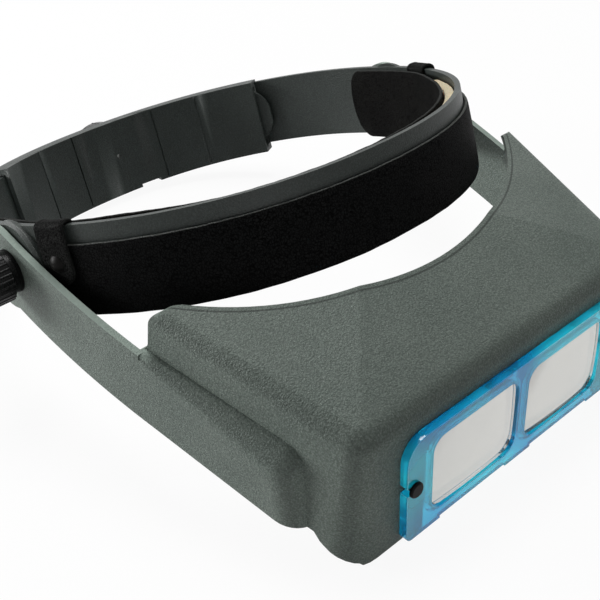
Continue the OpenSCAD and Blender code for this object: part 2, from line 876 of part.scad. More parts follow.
// Foam between the band and the liner, thin at its ends
function foam_section(az) = let (
    a = min(az - foam_az, 360 - foam_az - az),
    out = -band_t - soft_gap,
    in = -liner_depth(az) + soft_gap,
    pinch = 1.5 * (1 - smooth(a / 6)),
    top = -3 - pinch,
    low = -band_h + 1.5 + pinch,
    mid = (top + low) / 2
) [[out, low], [out, top], [(out + in) / 2, top + 0.8], [in, top - 1], [in, mid],
   [in, low + 1], [(out + in) / 2, low - 0.8]];

module brow_foam() {
    color(foam_cream)
        in_band_frame()
            band_sweep(foam_az, 360 - foam_az, function(az) foam_section(az));
}

// Liner inside the band, crowned between its edges and with rounded ends
function liner_section(az) = let (
    a = min(az - liner_end_az, 360 - liner_end_az - az),
    end_round = 7 * (1 - sqrt(max(0, 1 - pow(1 - min(1, a / 5), 2)))),
    out = -liner_depth(az),
    in = out - liner_t,
    top = liner_top - end_round - liner_dip * smooth((a - 42) / 25),
    low = liner_bottom + end_round,
    mid = (top + low) / 2
) [[out, low + 0.5], [out, top - 0.5], [out - 0.4, top], [in + 0.2, top - 0.2], [in, top - 1.2],
   [in - liner_rise * 0.8, top - 7], [in - liner_rise, mid], [in - liner_rise * 0.8, low + 7],
   [in, low + 1.2], [in + 0.2, low + 0.2], [out - 0.4, low]];

module brow_liner() {
    color(liner_black)
        in_band_frame()
            band_sweep(liner_end_az, 360 - liner_end_az, function(az) liner_section(az));
}

// Leather tab folded over the rim, with a round lower end and a hole for the snap post
module snap_tab(side) {
    half_az = asin(tab_w / 2 / az_radius(tab_az));
    a0 = side * tab_az - half_az;
    a1 = side * tab_az + half_az;
    top = soft_gap + tab_t;
    end_r = tab_w / 2;
    color(liner_black)
        in_band_frame()
            difference() {
                union() {
                    band_wall(a0, a1, -tab_off - tab_t, -tab_off, -tab_drop, top);
                    band_wall(a0, a1, -tab_off - tab_t, band_t + soft_gap + tab_t, soft_gap, top);
                    band_wall(a0, a1, band_t + soft_gap, band_t + soft_gap + tab_t, -tab_inner_drop, top);
                }
                // Round lower end of the outer leg
                on_band(side * tab_az, 0, -tab_drop + end_r)
                    translate([0, 0, -over])
                        linear_extrude(2 * (tab_off + tab_t))
                            difference() {
                                translate([0, -end_r - over])
                                    square([2 * end_r, 2 * (end_r + over)]);
                                circle(end_r);
                            }
                on_band(side * tab_az, 0, snap_z)
                    cylinder(r = post_r + bolt_clear, h = 2 * (tab_off + tab_t));
            }
}

module snap_caps() {
    dome_r = (pow(snap_r, 2) + pow(snap_dome, 2)) / (2 * snap_dome);
    color(knob_black)
        in_band_frame()
            for (s = [-1, 1])
                on_band(s * tab_az, tab_off + tab_t + 0.1, snap_z)
                    intersection() {
                        cylinder(r = snap_r, h = snap_dome);
                        translate([0, 0, snap_dome - dome_r])
                            sphere(dome_r, $fn = 64);
                    }
}

module snap_posts() {
    color(steel_grey)
        in_band_frame()
            for (s = [-1, 1])
                on_band(s * tab_az, -band_t - post_head_t - 0.1, snap_z) {
                    cylinder(r = post_head_r, h = post_head_t);
                    cylinder(r = post_r, h = post_head_t + 0.1 + band_t + tab_off + tab_t);
                }
}

module pivot_bolt(side) {
    color(steel_grey)
        along_pivot(side)
            union() {
                ring(bolt_r, bolt_seat_x - bolt_head_t, bolt_end_x);
                ring(bolt_head_r, bolt_seat_x - bolt_head_t, bolt_seat_x);
            }
}

module friction_washer(side) {
    color(leather_black)
        along_pivot(side)
            ring(friction_r, arm_in_x - washer_t, arm_in_x, bolt_r + 0.1);
}

module pressure_washer(side) {
    color(knob_black)
        along_pivot(side)
            ring(press_r, press_x, press_x + press_t, bolt_r + 0.1);
}

module pivot_knob(side) {
    color(knob_black)
        along_pivot(side)
            translate([0, 0, knob_x])
                difference() {
                    ribbed_knob(knob_r, knob_len, knob_ribs, neck_r, neck_t);
                    translate([0, 0, -over])
                        cylinder(r = insert_r, h = insert_len + over);
                    // Shallow dish in the outer face
                    translate([0, 0, knob_len - 0.8])
                        cylinder(r = knob_r - 3.2, h = 2);
                }
}

module knob_insert(side) {
    color(brass_yellow)
        along_pivot(side)
            ring(insert_r, knob_x + 0.2, knob_x + insert_len, bolt_r + bolt_clear);
}

module rear_sleeve() {
    foot_az = [score_az[2] - 9, score_az[2] - 2.6];
    color(band_green)
        in_band_frame()
            difference() {
                union() {
                    band_wall(sleeve_az0, sleeve_az1, skin_out, sleeve_in, sleeve_bottom, sleeve_top);
                    // Rims over and under the outer strap
                    band_wall(sleeve_az0, sleeve_az1, 0, skin_out + sleeve_skin / 2, rim_gap, sleeve_top);
                    band_wall(sleeve_az0, sleeve_az1, 0, skin_out + sleeve_skin / 2, sleeve_bottom,
                              sleeve_bottom + rim_under);
                }
                // Passage for the tongue
                band_wall(sleeve_az0 - 2, sleeve_az1 + 2, skin_out + sleeve_skin, pad_out,
                          tongue_bottom - strap_gap, tongue_top + strap_gap);
                // The lower edge has a shallow step beside the middle
                band_wall(foot_az[0], foot_az[1], -over, sleeve_in + over,
                          sleeve_bottom - over, sleeve_bottom + foot_step);
                // Score lines
                for (a = score_az)
                    on_band(a, -sleeve_in, 0)
                        translate([-over, -score_w / 2, -over])
                            cube([band_h + 3 * over, score_w, over + score_depth]);
                // Hole for the clamp bolt, the pocket for its head and the peep hole in front of it
                on_band(clamp_az, -sleeve_in - over, clamp_z)
                    cylinder(r = peep_r, h = sleeve_wall + 2 * over, $fn = 24);
                on_band(clamp_az, -pad_out - clamp_head_t - 0.1, clamp_z)
                    cylinder(r = clamp_head_r + 0.2, h = clamp_head_t + 0.2);
                on_band(clamp_az, -skin_out - sleeve_skin - over, clamp_z)
                    cylinder(r = clamp_hole_r, h = sleeve_skin + 1.5 * over);
            }
}

module clamp_bolt() {
    color(steel_grey)
        in_band_frame()
            on_band(clamp_az, -pad_out - clamp_head_t, clamp_z) {
                cylinder(r = clamp_head_r, h = clamp_head_t);
                cylinder(r = clamp_r, h = clamp_head_t + pad_out + rear_knob_off + rear_insert_h);
            }
}

module rear_washer() {
    color(steel_grey)
        in_band_frame()
            on_band(clamp_az, rear_washer_off, clamp_z)
                ring(rear_washer_r, 0, rear_washer_t, clamp_hole_r);
}

module rear_knob() {
    color(knob_black)
        in_band_frame()
            on_band(clamp_az, rear_knob_off, clamp_z)
                difference() {
                    ribbed_knob(rear_knob_r, rear_knob_h, rear_ribs, rear_knob_r - 2, 1.4);
                    translate([0, 0, -over])
                        cylinder(r = rear_insert_r, h = rear_insert_h + over);
                }
}

module rear_knob_insert() {
    color(brass_yellow)
        in_band_frame()
            on_band(clamp_az, rear_knob_off, clamp_z)
                ring(rear_insert_r, 0.2, rear_insert_h, clamp_r + bolt_clear);
}

visor_shell();
lens_plate();
lens(LEFT);  // lens_left
lens(RIGHT);  // lens_right
lens_studs();
lens_stud_nuts();
headband();
brow_cover();
brow_foam();
brow_liner();
snap_tab(LEFT);  // snap_tab_left
snap_tab(RIGHT);  // snap_tab_right
snap_caps();
snap_posts();
pivot_bolt(LEFT);  // pivot_bolt_left
pivot_bolt(RIGHT);  // pivot_bolt_right
friction_washer(LEFT);  // friction_washer_left
friction_washer(RIGHT);  // friction_washer_right
pressure_washer(LEFT);  // pressure_washer_left
pressure_washer(RIGHT);  // pressure_washer_right
pivot_knob(LEFT);  // pivot_knob_left
pivot_knob(RIGHT);  // pivot_knob_right
knob_insert(LEFT);  // knob_insert_left
knob_insert(RIGHT);  // knob_insert_right
rear_sleeve();
clamp_bolt();
rear_washer();
rear_knob();
rear_knob_insert();
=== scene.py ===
"""Binocular head magnifier: its soft padding, finishes, light and camera."""
import json
import math

import bmesh
import bpy
import numpy as np
from mathutils import Matrix, Vector


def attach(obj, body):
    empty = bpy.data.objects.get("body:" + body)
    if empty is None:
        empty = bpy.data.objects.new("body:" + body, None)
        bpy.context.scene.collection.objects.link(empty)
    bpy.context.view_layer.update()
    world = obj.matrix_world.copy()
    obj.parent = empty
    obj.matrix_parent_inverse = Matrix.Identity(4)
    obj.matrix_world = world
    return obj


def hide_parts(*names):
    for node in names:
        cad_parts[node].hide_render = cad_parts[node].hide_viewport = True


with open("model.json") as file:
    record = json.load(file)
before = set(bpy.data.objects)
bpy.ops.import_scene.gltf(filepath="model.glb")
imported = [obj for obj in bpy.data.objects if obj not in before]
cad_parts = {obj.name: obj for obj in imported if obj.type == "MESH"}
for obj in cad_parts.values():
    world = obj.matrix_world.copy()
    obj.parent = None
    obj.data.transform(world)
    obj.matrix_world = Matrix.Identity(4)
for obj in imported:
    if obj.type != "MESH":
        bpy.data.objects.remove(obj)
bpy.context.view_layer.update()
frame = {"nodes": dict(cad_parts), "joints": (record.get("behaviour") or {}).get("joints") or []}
MM = 0.001

# Sizes below are in millimetres and azimuths in degrees from straight back, as in the part's source.
# Band: half width, half lengths to the front and to the rear, and how square its outline is
BAND_HALF_W, BAND_FRONT, BAND_REAR, BAND_SQUARE = 89.2, 99.2, 92.0, 2.16
BAND_H, BAND_T = 28.6, 2.0
# Leather cover: azimuth of its ends, drop below the rim, thickness, overhang below the band
COVER_AZ, COVER_DROP, COVER_T, COVER_UNDER = 110.8, 6.0, 1.25, 1.0
# Liner and foam: azimuth of their ends, thickness, and how far the liner's top dips in front
LINER_AZ, LINER_T, LINER_DIP = 84.0, 1.3, 0.9
FOAM_AZ, FOAM_T = 122.0, 3.6
# Leather tabs: azimuth, width, thickness, lengths of the outer and the inner leg below the rim
TAB_AZ, TAB_W, TAB_T, TAB_DROP, TAB_INNER_DROP = 112.8, 12.0, 1.2, 19.0, 6.5
SOFT_GAP = 0.25
TAB_OFF = 2 * SOFT_GAP + COVER_T
# Rough radii that turn azimuths into lengths along each piece
COVER_R, LINER_R, FOAM_R, TAB_R = 95.0, 90.0, 93.0, 90.0
COVER_ROWS = 261
CLAMP_Z = -BAND_H / 2
# Radius of the brim's edge round its upright axis, and of the fine line of painted shade beside it
BRIM_R = BAND_HALF_W + 10.3
BRIM_LINE, BRIM_LINE_W = BRIM_R + 1.3, 0.6
# The visor's arms lie further out than this and behind this place, where their upper edges get a painted
# highlight
ARM_OUT, ARM_FRONT = 77.0, -54.0
# Lean of the visor and of the solved camera from level
LEAN = math.radians(1.6)


def joint(name):
    """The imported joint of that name."""
    return next(j for j in frame["joints"] if j["name"] == name)


# The band's own frame comes from the rear adjuster's axis, which is the band's upright axis
BAND_UP = np.array(joint("rear_adjust")["axis"], float)
BAND_BACK = np.cross(BAND_UP, [1.0, 0.0, 0.0])
BAND_ORIGIN = np.array(joint("rear_adjust")["pos_m"], float) - BAND_UP * CLAMP_Z * MM


def band_to_world(points):
    """Points in the band's frame, in mm with Z up from its top rim, in the model's frame in metres."""
    axes = np.stack([[1.0, 0.0, 0.0], BAND_BACK, BAND_UP])
    return BAND_ORIGIN + (np.asarray(points, float) @ axes) * MM


def outline(az, off):
    """Band outline: the superellipse (|x|/a)^n + (|y|/b)^n = 1 at az degrees from straight back,
    with unlike front and rear b, moved outwards by off along its normal."""
    az = np.radians(np.asarray(az, float))
    s, c = np.sin(az), np.cos(az)
    b = np.where(c > 0, BAND_REAR, BAND_FRONT)
    n = BAND_SQUARE
    r = ((np.abs(s) / BAND_HALF_W) ** n + (np.abs(c) / b) ** n) ** (-1 / n)
    x, y = r * s, r * c
    gx = np.sign(x) * (np.abs(x) / BAND_HALF_W) ** (n - 1) / BAND_HALF_W
    gy = np.sign(y) * (np.abs(y) / b) ** (n - 1) / b
    length = np.hypot(gx, gy)
    return np.stack([x + off * gx / length, y + off * gy / length], -1)


def smooth(t):
    """Smooth step from 0 to 1."""
    t = np.clip(t, 0, 1)
    return t * t * (3 - 2 * t)


def waves(a, b, seed, high=0.12):
    """Sum of five sine waves over a and b with seeded directions and phases, about -1 to 1, of 0.02
    to high waves per mm: the small unevenness of hand-cut leather and foam."""
    count, low = 5, 0.02
    rng = np.random.default_rng(seed)
    total = np.zeros(np.broadcast(a, b).shape)
    for k in rng.uniform(low, high, count):
        angle, phase = rng.uniform(0, 2 * math.pi, 2)
        total = total + np.sin(2 * math.pi * k * (a * math.cos(angle) + b * math.sin(angle)) + phase)
    return total / count


def closed_tube(name, points, cut_edge):
    """Closed mesh from a grid of points in metres: each row is a closed section, neighbouring rows
    are joined and the first and last are capped. Its point attribute cut_edge is 1 on cut leather."""
    rows, cols = points.shape[:2]
    i, j = np.meshgrid(np.arange(rows - 1), np.arange(cols), indexing="ij")
    k = (j + 1) % cols
    quads = np.stack([i * cols + j, i * cols + k, (i + 1) * cols + k, (i + 1) * cols + j], -1)
    caps = [list(range(cols))[::-1], [(rows - 1) * cols + c for c in range(cols)]]
    mesh = bpy.data.meshes.new(name)
    mesh.from_pydata(points.reshape(-1, 3).tolist(), [], quads.reshape(-1, 4).tolist() + caps)
    mesh.validate()
    mesh.update()
    mesh.polygons.foreach_set("use_smooth", np.ones(len(mesh.polygons), bool))
    layer = mesh.attributes.new("cut_edge", "FLOAT", "POINT")
    layer.data.foreach_set("value", np.asarray(cut_edge, np.float32).reshape(-1))
    # Its faces are turned outwards
    work = bmesh.new()
    work.from_mesh(mesh)
    bmesh.ops.recalc_face_normals(work, faces=work.faces)
    work.to_mesh(mesh)
    work.free()
    obj = bpy.data.objects.new(name, mesh)
    bpy.context.scene.collection.objects.link(obj)
    return obj


def pad_profile(out, inner, low, top, count, crown, edge_r):
    """Closed cross section of a strip, as offsets and heights at count angles t: a rounded rectangle
    |cos t|^p by |sin t|^0.3 between the depths out and inner and the heights low and top, where p
    follows from edge_r, and whose inner side swells by crown as a cosine of its height."""
    t = np.linspace(0, 1, count, endpoint=False) * 4
    corner = np.clip(edge_r, 0.05, (out - inner) * 0.49)
    half_h, half_w = (top - low) / 2, (out - inner) / 2
    angle = t * math.pi / 2
    ca, sa = np.cos(angle), np.sin(angle)
    power = 2 / (2 + 6 * (1 - corner / half_w) + 4)
    x = np.sign(ca) * np.abs(ca) ** power
    z = np.sign(sa) * np.abs(sa) ** 0.3
    off = (out + inner) / 2 + half_w * x
    height = (top + low) / 2 + half_h * z
    swell = crown * np.cos(np.clip(z, -1, 1) * math.pi / 2) * np.where(x < 0, 1.0, 0.0)
    return off - swell, height


def strip_azimuths(start, rows, radius):
    """Azimuths of the sections of a strip that runs round the front from start to its mirror image,
    and, as columns, the length along it in mm and the degrees to its nearer end."""
    az = np.linspace(start, 360 - start, rows)
    a = az[:, None]
    return az, math.radians(1) * radius * (a - start), np.minimum(a - start, 360 - start - a)


def strip_solid(name, az, off, height, cut_edge):
    """Solid swept along the band's outline: row i of off and height is its cross section at az[i]."""
    base = outline(az, 0.0)[:, None, :]
    unit = outline(az, 1.0)[:, None, :] - base
    xy = base + unit * off[..., None]
    return closed_tube(name, band_to_world(np.concatenate([xy, height[..., None]], -1)), cut_edge)


def end_shrink(near, length, depth):
    """How far a strip's end is drawn in for a round end: a quarter ellipse over length degrees."""
    return depth * (1 - np.sqrt(np.clip(1 - (1 - np.clip(near / length, 0, 1)) ** 2, 0, 1)))


def cut_faces(height, low, top, depth, fade):
    """1 on the narrow top and bottom faces of a strip, which start depth from its edges and fade in."""
    return np.clip((np.abs(height - (top + low) / 2) - (top - low) / 2 + depth) / fade, 0, 1)


def liner_depth(az):
    """Depth of the liner's outer face under the band's outer face: it bends in over a few degrees
    behind its ends, and again where the foam starts."""
    end_depth, end_az, foam_az = 2.1, 8, 16
    a = np.where(az > 180, 360 - az, az)
    return (BAND_T + SOFT_GAP + end_depth * smooth((a - LINER_AZ) / end_az)
            + (FOAM_T - 1.5) * smooth((a - TAB_AZ) / foam_az))


def make_cover():
    """Leather cover outside the band: a thin sheet with wavy cut edges, whose outer face swells by the
    square root of a cosine of its height."""
    end_az, end_draw, swell, cut_r = 1.2, 1.6, 0.22, 0.3
    az, along, near = strip_azimuths(COVER_AZ, COVER_ROWS, COVER_R)
    shrink = end_shrink(near, end_az, end_draw)
    top = -COVER_DROP - shrink + 0.1 * waves(along, 0.0, 3) + 0.06 * waves(along, 0.0, 6, high=0.6)
    low = -BAND_H - COVER_UNDER + shrink + 0.12 * waves(along, 9.0, 4)
    off, height = pad_profile(SOFT_GAP + COVER_T, SOFT_GAP, low, top, 56, 0.0, cut_r)
    outer = off > SOFT_GAP + COVER_T * 0.6
    middle = (height - (top + low) / 2) / (top - low)
    puff = swell * np.sqrt(np.clip(np.cos(middle * math.pi), 0, 1)) * smooth((near - 5) / 6)
    off = off + np.where(outer, puff + 0.05 * waves(along, height, 5), 0.0)
    return strip_solid("leather_cover", az, off, height, cut_faces(height, low, top, 0.22, 0.16))


def make_liner():
    """Leather liner inside the band: a strip with large round ends, whose inner face is crowned."""
    end_az, end_draw, drop, swell, cut_r = 5.5, 8.5, 0.5, 0.9, 0.35
    az, along, near = strip_azimuths(LINER_AZ, 281, LINER_R)
    shrink = end_shrink(near, end_az, end_draw)
    out = -liner_depth(az)[:, None]
    dip = LINER_DIP * smooth((near - 42) / 25)
    top = -drop - dip - shrink + 0.1 * waves(along, 0.0, 13) + 0.1 * waves(along, 0.0, 16, high=0.5)
    low = -BAND_H - drop + shrink + 0.1 * waves(along, 9.0, 14)
    crown = swell * (1 - shrink / 14)
    off, height = pad_profile(out, out - LINER_T, low, top, 64, crown, cut_r)
    off = off - np.where(off < out - LINER_T * 0.6, 0.06 * waves(along, height, 15), 0.0)
    return strip_solid("leather_liner", az, off, height, cut_faces(height, low, top, 0.25, 0.2))


def make_foam():
    """Foam strip that fills the room between the band and the liner in front."""
    end_az, end_draw, top_drop, low_rise, corner_r = 2.5, 2.0, 2.6, 1.2, 0.6
    az, along, near = strip_azimuths(FOAM_AZ, 221, FOAM_R)
    shrink = end_shrink(near, end_az, end_draw)
    out, inner = -BAND_T - SOFT_GAP, -liner_depth(az)[:, None] + SOFT_GAP
    top = -top_drop - shrink + 0.25 * waves(along, 0.0, 23, high=0.3)
    low = -BAND_H + low_rise + shrink
    off, height = pad_profile(out, inner, low, top, 40, 0.0, corner_r)
    return strip_solid("brow_foam_strip", az, off, height, np.zeros(height.shape))


def make_tab(name, side):
    """Leather tab folded over the band's rim: a path of a long outer leg, a flattened half turn over
    the rim and a short inner leg, swept across the width, with a half round end on the outer leg,
    a wall of TAB_T that thins at its edges, and a faint ridge along them. Returns the tab, its flat
    width and length and its flat area."""
    rows, cols = 140, 33
    out_mid, in_mid = TAB_OFF + TAB_T / 2, -BAND_T - SOFT_GAP - TAB_T / 2
    bend = (out_mid - in_mid) / 2
    # Height of the half turn, of its top above the rim, and its squareness
    rise, crest, power = 2.1, SOFT_GAP + TAB_T / 2 + 0.15, 0.72
    foot = crest - rise
    legs = [TAB_DROP + foot, math.pi * (bend + rise) / 2, TAB_INNER_DROP + foot]
    s = np.linspace(0, sum(legs), rows)
    angle = np.clip((s - legs[0]) / legs[1], 0, 1) * math.pi
    after = np.clip(s - legs[0] - legs[1], 0, None)
    turn_x = np.sign(np.cos(angle)) * np.abs(np.cos(angle)) ** power
    off = (out_mid + in_mid) / 2 + bend * turn_x
    z = np.where(s < legs[0], -TAB_DROP + s, foot + rise * np.sin(angle) ** power - after)
    # The outer leg follows the cover at its foot and draws in towards the rim above it
    off = off - 0.5 * smooth((z + 5.5) / 4) * (s < legs[0] + legs[1] / 2)
    along = np.stack([np.gradient(off, s), np.gradient(z, s)], -1)
    along = along / np.linalg.norm(along, axis=1, keepdims=True)
    normal = np.stack([along[:, 1], -along[:, 0]], -1)
    end_r = TAB_W / 2
    half = np.where(s < end_r, np.sqrt(np.clip(end_r ** 2 - (end_r - s) ** 2, 0.04, None)), end_r)
    half = half * (1 + 0.012 * waves(s, 0.0, 37 + side, high=0.4))
    v = np.sin(np.linspace(-math.pi / 2, math.pi / 2, cols))
    # Degrees of the outline that span the width
    span = np.degrees(half / TAB_R)
    az = side * TAB_AZ + span[:, None] * v[None, :]
    rim = np.clip(1 - np.abs(v), 0, 1)
    thick = TAB_T / 2 * np.minimum(1, rim / 0.06 + 0.25) ** 0.5
    ridge = 0.12 * np.exp(-((rim - 0.2) / 0.07) ** 2)
    layers = []
    for lift in (thick + ridge, -thick):
        o = off[:, None] + normal[:, :1] * lift
        h = z[:, None] + normal[:, 1:] * lift + 0.04 * waves(s[:, None], v[None, :] * 6, 31 + side)
        base = outline(az, 0.0)
        unit = outline(az, 1.0) - base
        layers.append(np.concatenate([base + unit * o[..., None], h[..., None]], -1))
    # Each row is a closed loop: outer face, then inner face back
    loop = np.concatenate([layers[0], layers[1][:, ::-1]], 1)
    edge = np.clip((np.abs(np.concatenate([v, v[::-1]])) - 0.97) / 0.02, 0, 1)
    tab = closed_tube(name, band_to_world(loop), np.broadcast_to(edge, (rows, 2 * cols)))
    area = float(np.sum(2 * half[1:] * np.diff(s)))
    return tab, (TAB_W * MM, float(s[-1]) * MM), area * MM * MM


def moulded_copy(name, node, width):
    """Copy of a CAD node with its sharp edges rounded over a width in mm, as a mould leaves them. The
    rounded edges take the second material, a paler copy that paints their highlight."""
    mesh = frame["nodes"][node].data.copy()
    mesh.name = name
    mesh.attributes.remove(mesh.attributes["custom_normal"])
    mesh.polygons.foreach_set("use_smooth", np.ones(len(mesh.polygons), bool))
    mesh.edges.foreach_set("use_edge_sharp", np.zeros(len(mesh.edges), bool))
    obj = bpy.data.objects.new(name, mesh)
    bpy.context.scene.collection.objects.link(obj)
    weld = obj.modifiers.new("joined_triangles", "WELD")
    weld.merge_threshold = 2e-6
    planes = obj.modifiers.new("whole_planes", "DECIMATE")
    planes.decimate_type = "DISSOLVE"
    planes.angle_limit = math.radians(0.5)
    bevel = obj.modifiers.new("rounded_edges", "BEVEL")
    bevel.width = width * MM
    bevel.segments = 3
    bevel.limit_method = "ANGLE"
    bevel.angle_limit = math.radians(38)
    bevel.material = 1
    shade = obj.modifiers.new("even_shading", "WEIGHTED_NORMAL")
    shade.weight = 80
    shade.keep_sharp = False
    return obj


def rgba(colour, factor=1.0):
    """Colour of three parts times a factor, with full alpha."""
    return [c * factor for c in colour] + [1.0]


def new_group(name, inputs, outputs):
    """Shader node group with named float or vector sockets; returns it with its two end nodes."""
    tree = bpy.data.node_groups.new(name, "ShaderNodeTree")
    for label, kind, value in inputs:
        socket = tree.interface.new_socket(label, in_out="INPUT", socket_type=kind)
        socket.default_value = value
    for label in outputs:
        tree.interface.new_socket(label, in_out="OUTPUT", socket_type="NodeSocketFloat")
    return tree, tree.nodes.new("NodeGroupInput"), tree.nodes.new("NodeGroupOutput")


def add(tree, kind, inputs=None, **settings):
    """Adds a node, sets its properties, and sets or links its inputs by name or number."""
    node = tree.nodes.new(kind)
    for key, value in settings.items():
        setattr(node, key, value)
    for key, value in (inputs or {}).items():
        if isinstance(value, bpy.types.NodeSocket):
            tree.links.new(value, node.inputs[key])
        else:
            node.inputs[key].default_value = value
    return node


def math_node(tree, operation, a, b=0.0):
    """Result of a maths operation on two values or sockets."""
    return add(tree, "ShaderNodeMath", {0: a, 1: b}, operation=operation).outputs[0]


def vector_node(tree, operation, a, b=None):
    """Node of a vector operation on one or two vectors or sockets."""
    inputs = {0: a} if b is None else {0: a, 1: b}
    return add(tree, "ShaderNodeVectorMath", inputs, operation=operation)


def grade(tree, value, low, high, out_low=0.0, out_high=1.0):
    """Maps value from low..high to out_low..out_high, clamped."""
    return add(tree, "ShaderNodeMapRange", {0: value, 1: low, 2: high, 3: out_low, 4: out_high}).outputs[0]


def mix_colour(tree, factor, a, b):
    """Colour between a and b."""
    return add(tree, "ShaderNodeMix", {0: factor, 6: a, 7: b}, data_type="RGBA").outputs[2]


def shaded(tree, colour, shade):
    """Colour times a shade."""
    scaled = add(tree, "ShaderNodeVectorMath", {0: colour, "Scale": shade}, operation="SCALE")
    return scaled.outputs[0]


def noise(tree, vector, scale, detail):
    """Noise node at that scale per metre."""
    return add(tree, "ShaderNodeTexNoise", {"Vector": vector, "Scale": scale, "Detail": detail})


def object_place(tree):
    """Place on the object, in metres."""
    return add(tree, "ShaderNodeTexCoord").outputs["Object"]


def object_normal(tree):
    """Normal in the object's frame."""
    return add(tree, "ShaderNodeTexCoord").outputs["Normal"]


def use_group(tree, group, inputs):
    """Node that places a shared group."""
    return add(tree, "ShaderNodeGroup", inputs, node_tree=group)


def broken_up(tree, vector, scale, detail, reach):
    """Places shifted by up to reach metres of noise, so that cells lose their even sides."""
    shift = vector_node(tree, "MULTIPLY", noise(tree, vector, scale, detail).outputs["Color"], (reach,) * 3)
    return vector_node(tree, "ADD", vector, shift.outputs[0]).outputs[0]


def make_pebble_group():
    """Fine moulded leather grain: rounded cells broken up by noise, with light flecks. Hollow is the
    shade between the cells' tops and hollows."""
    tree, start, end = new_group(
        "moulded_pebble_grain",
        [("Vector", "NodeSocketVector", (0, 0, 0)), ("Cell Scale", "NodeSocketFloat", 1500.0),
         ("Fleck Amount", "NodeSocketFloat", 0.5)],
        ("Height", "Fleck", "Cloud", "Hollow"))
    vector = start.outputs["Vector"]
    cells = add(tree, "ShaderNodeTexVoronoi",
                {"Vector": broken_up(tree, vector, 420.0, 3.0, 0.0008),
                 "Scale": start.outputs["Cell Scale"], "Smoothness": 0.6}, feature="SMOOTH_F1")
    fine = noise(tree, vector, 3200.0, 2.0)
    height = math_node(tree, "SUBTRACT", math_node(tree, "MULTIPLY", fine.outputs[0], 0.35),
                       cells.outputs["Distance"])
    tree.links.new(height, end.inputs["Height"])
    grit = noise(tree, vector, 1500.0, 1.0)
    uneven = math_node(tree, "ADD", height, math_node(tree, "MULTIPLY", grit.outputs[0], 1.2))
    tree.links.new(grade(tree, uneven, 0.1, 0.75), end.inputs["Hollow"])
    fleck = grade(tree, noise(tree, vector, 2300.0, 1.0).outputs[0], 0.58, 0.74)
    tree.links.new(math_node(tree, "MULTIPLY", fleck, start.outputs["Fleck Amount"]), end.inputs["Fleck"])
    tree.links.new(noise(tree, vector, 28.0, 3.0).outputs[0], end.inputs["Cloud"])
    return tree


def make_leather_group():
    """Leather grain: cracked cells, fine pores, soft broad wear and the fibres of a cut."""
    tree, start, end = new_group(
        "leather_grain",
        [("Vector", "NodeSocketVector", (0, 0, 0)), ("Grain Scale", "NodeSocketFloat", 900.0)],
        ("Height", "Worn", "Fibre"))
    vector = start.outputs["Vector"]
    cracks = add(tree, "ShaderNodeTexVoronoi",
                 {"Vector": broken_up(tree, vector, 260.0, 4.0, 0.003),
                  "Scale": start.outputs["Grain Scale"]}, feature="DISTANCE_TO_EDGE")
    crack = grade(tree, cracks.outputs["Distance"], 0.0, 0.18)
    pores = add(tree, "ShaderNodeTexVoronoi", {"Vector": vector, "Scale": 2600.0})
    pore = grade(tree, pores.outputs["Distance"], 0.1, 0.4)
    height = math_node(tree, "ADD", math_node(tree, "MULTIPLY", crack, 0.7),
                       math_node(tree, "MULTIPLY", pore, 0.3))
    tree.links.new(height, end.inputs["Height"])
    tree.links.new(grade(tree, noise(tree, vector, 60.0, 4.0).outputs[0], 0.45, 0.75), end.inputs["Worn"])
    tree.links.new(grade(tree, noise(tree, vector, 1900.0, 4.0).outputs[0], 0.35, 0.65), end.inputs["Fibre"])
    return tree


# Normals of the visor's main planes: two facets of the top, the sides, the front wall, the panels'
# outer faces, the arms and the panels' fronts. Away from them the rounded transitions get painted shade.
VISOR_PLANES = ((0, -0.38, 0.93), (0.15, -0.26, 0.955), (0.99, -0.15, 0), (0, -1, 0.03),
                (0.96, -0.25, 0.12), (1, 0, 0), (0.3, -0.95, 0.03))


def make_rounding_shade_mask():
    """Mask of the painted shade on the visor's rounded transitions: 0 where the object's normal is close
    to one of its main planes, 1 where it is far from all of them. The planes are mirrored across the middle."""
    tree, start, end = new_group("painted_rounding_shade_mask", [("Normal", "NodeSocketVector", (0, 0, 1))],
                                 ("Rounding",))
    normal = start.outputs["Normal"]
    split = add(tree, "ShaderNodeSeparateXYZ", {0: normal}).outputs
    side = add(tree, "ShaderNodeSeparateXYZ", {0: vector_node(tree, "ABSOLUTE", normal).outputs[0]}).outputs
    mirrored = add(tree, "ShaderNodeCombineXYZ", {0: side[0], 1: split[1], 2: split[2]}).outputs[0]
    flat = 0.0
    for plane in VISOR_PLANES:
        dot = vector_node(tree, "DOT_PRODUCT", mirrored, plane).outputs["Value"]
        flat = math_node(tree, "MAXIMUM", grade(tree, math_node(tree, "ABSOLUTE", dot), 0.925, 0.99), flat)
    tree.links.new(math_node(tree, "SUBTRACT", 1.0, flat), end.inputs["Rounding"])
    return tree


def make_brim_shade_group():
    """Line of painted shade on the hood's top beside the brim's edge, where the distance from the brim's
    upright axis, which runs between the visor's pivots, is BRIM_LINE to BRIM_LINE + BRIM_LINE_W."""
    tree, start, end = new_group("painted_brim_shade_line", [("Vector", "NodeSocketVector", (0, 0, 0))], ("Line",))
    pivot = tuple(joint("visor_tilt")["pos_m"])
    axis = (0.0, -math.sin(LEAN), math.cos(LEAN))
    from_pivot = vector_node(tree, "SUBTRACT", start.outputs["Vector"], pivot).outputs[0]
    across = vector_node(tree, "CROSS_PRODUCT", from_pivot, axis).outputs[0]
    radius = vector_node(tree, "LENGTH", across).outputs["Value"]
    middle = (BRIM_LINE + BRIM_LINE_W / 2) * MM
    away = math_node(tree, "ABSOLUTE", math_node(tree, "SUBTRACT", radius, middle))
    height = add(tree, "ShaderNodeSeparateXYZ", {0: from_pivot}).outputs[2]
    on_top = grade(tree, height, 5 * MM, 7 * MM)
    line = grade(tree, away, 0.2 * MM, 0.42 * MM, 0.9, 0.0)
    tree.links.new(math_node(tree, "MULTIPLY", line, on_top), end.inputs["Line"])
    return tree


